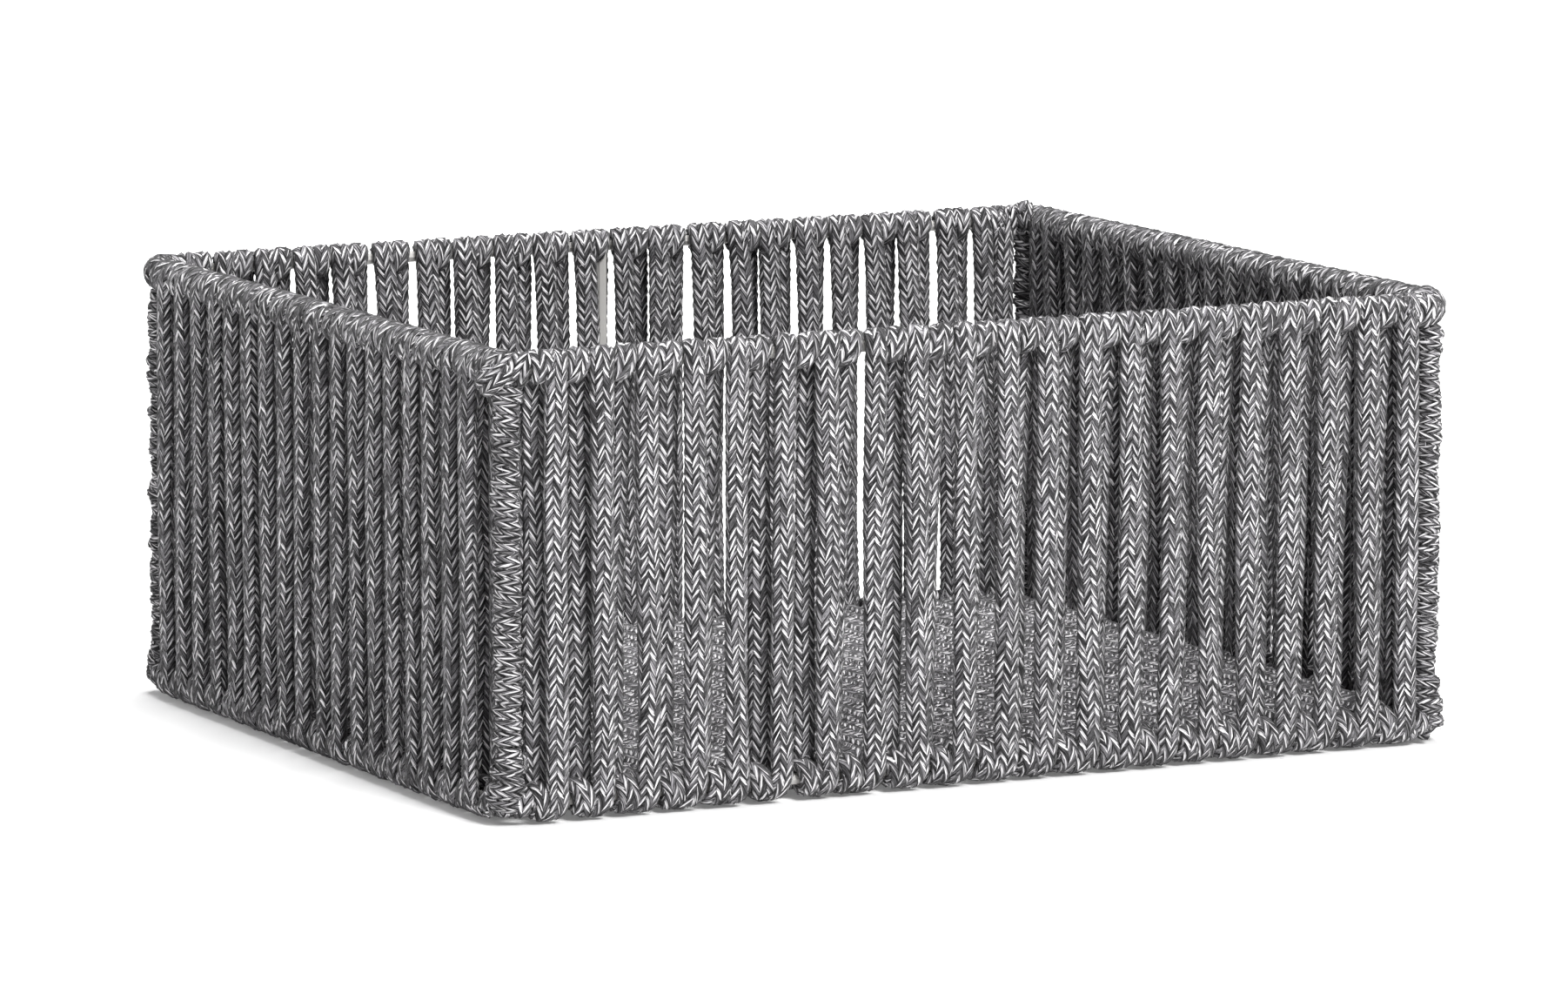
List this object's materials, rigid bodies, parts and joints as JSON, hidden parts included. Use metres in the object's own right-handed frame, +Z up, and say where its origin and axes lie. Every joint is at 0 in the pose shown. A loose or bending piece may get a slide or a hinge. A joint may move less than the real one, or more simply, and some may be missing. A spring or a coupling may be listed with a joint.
{
  "type": "woven storage basket",
  "caption": "Open rectangular basket with walls and floor wound from flat knitted marl cord on a light wire frame.",
  "frame": {"origin": "centre of the underside, on the surface that the basket stands on", "axes": "+Z up, +X along the length, the front long wall faces -Y"},
  "size_m": [0.4, 0.335, 0.17],
  "materials": {
    "marl_cord": "flat knitted marl cord, mid grey and dark grey plies with white flecks, slightly fuzzy",
    "frame_wire": "light grey powder coat"
  },
  "bodies": {
    "root": {"top_ring_wire": "frame_wire", "bottom_ring_wire": "frame_wire", "front_left_post_wire": "frame_wire", "front_right_post_wire": "frame_wire", "back_right_post_wire": "frame_wire", "back_left_post_wire": "frame_wire", "front_mid_post_wire": "frame_wire", "back_mid_post_wire": "frame_wire", "base_cross_wire": "frame_wire", "front_wall_winding": "marl_cord", "back_wall_winding": "marl_cord", "left_wall_winding": "marl_cord", "right_wall_winding": "marl_cord", "floor_winding": "marl_cord", "front_left_top_lashing": "marl_cord", "front_left_bottom_lashing": "marl_cord", "front_left_post_wrap": "marl_cord", "front_right_top_lashing": "marl_cord", "front_right_bottom_lashing": "marl_cord", "front_right_post_wrap": "marl_cord", "back_right_top_lashing": "marl_cord", "back_right_bottom_lashing": "marl_cord", "back_right_post_wrap": "marl_cord", "back_left_top_lashing": "marl_cord", "back_left_bottom_lashing": "marl_cord", "back_left_post_wrap": "marl_cord"}
  },
  "joints": []
}
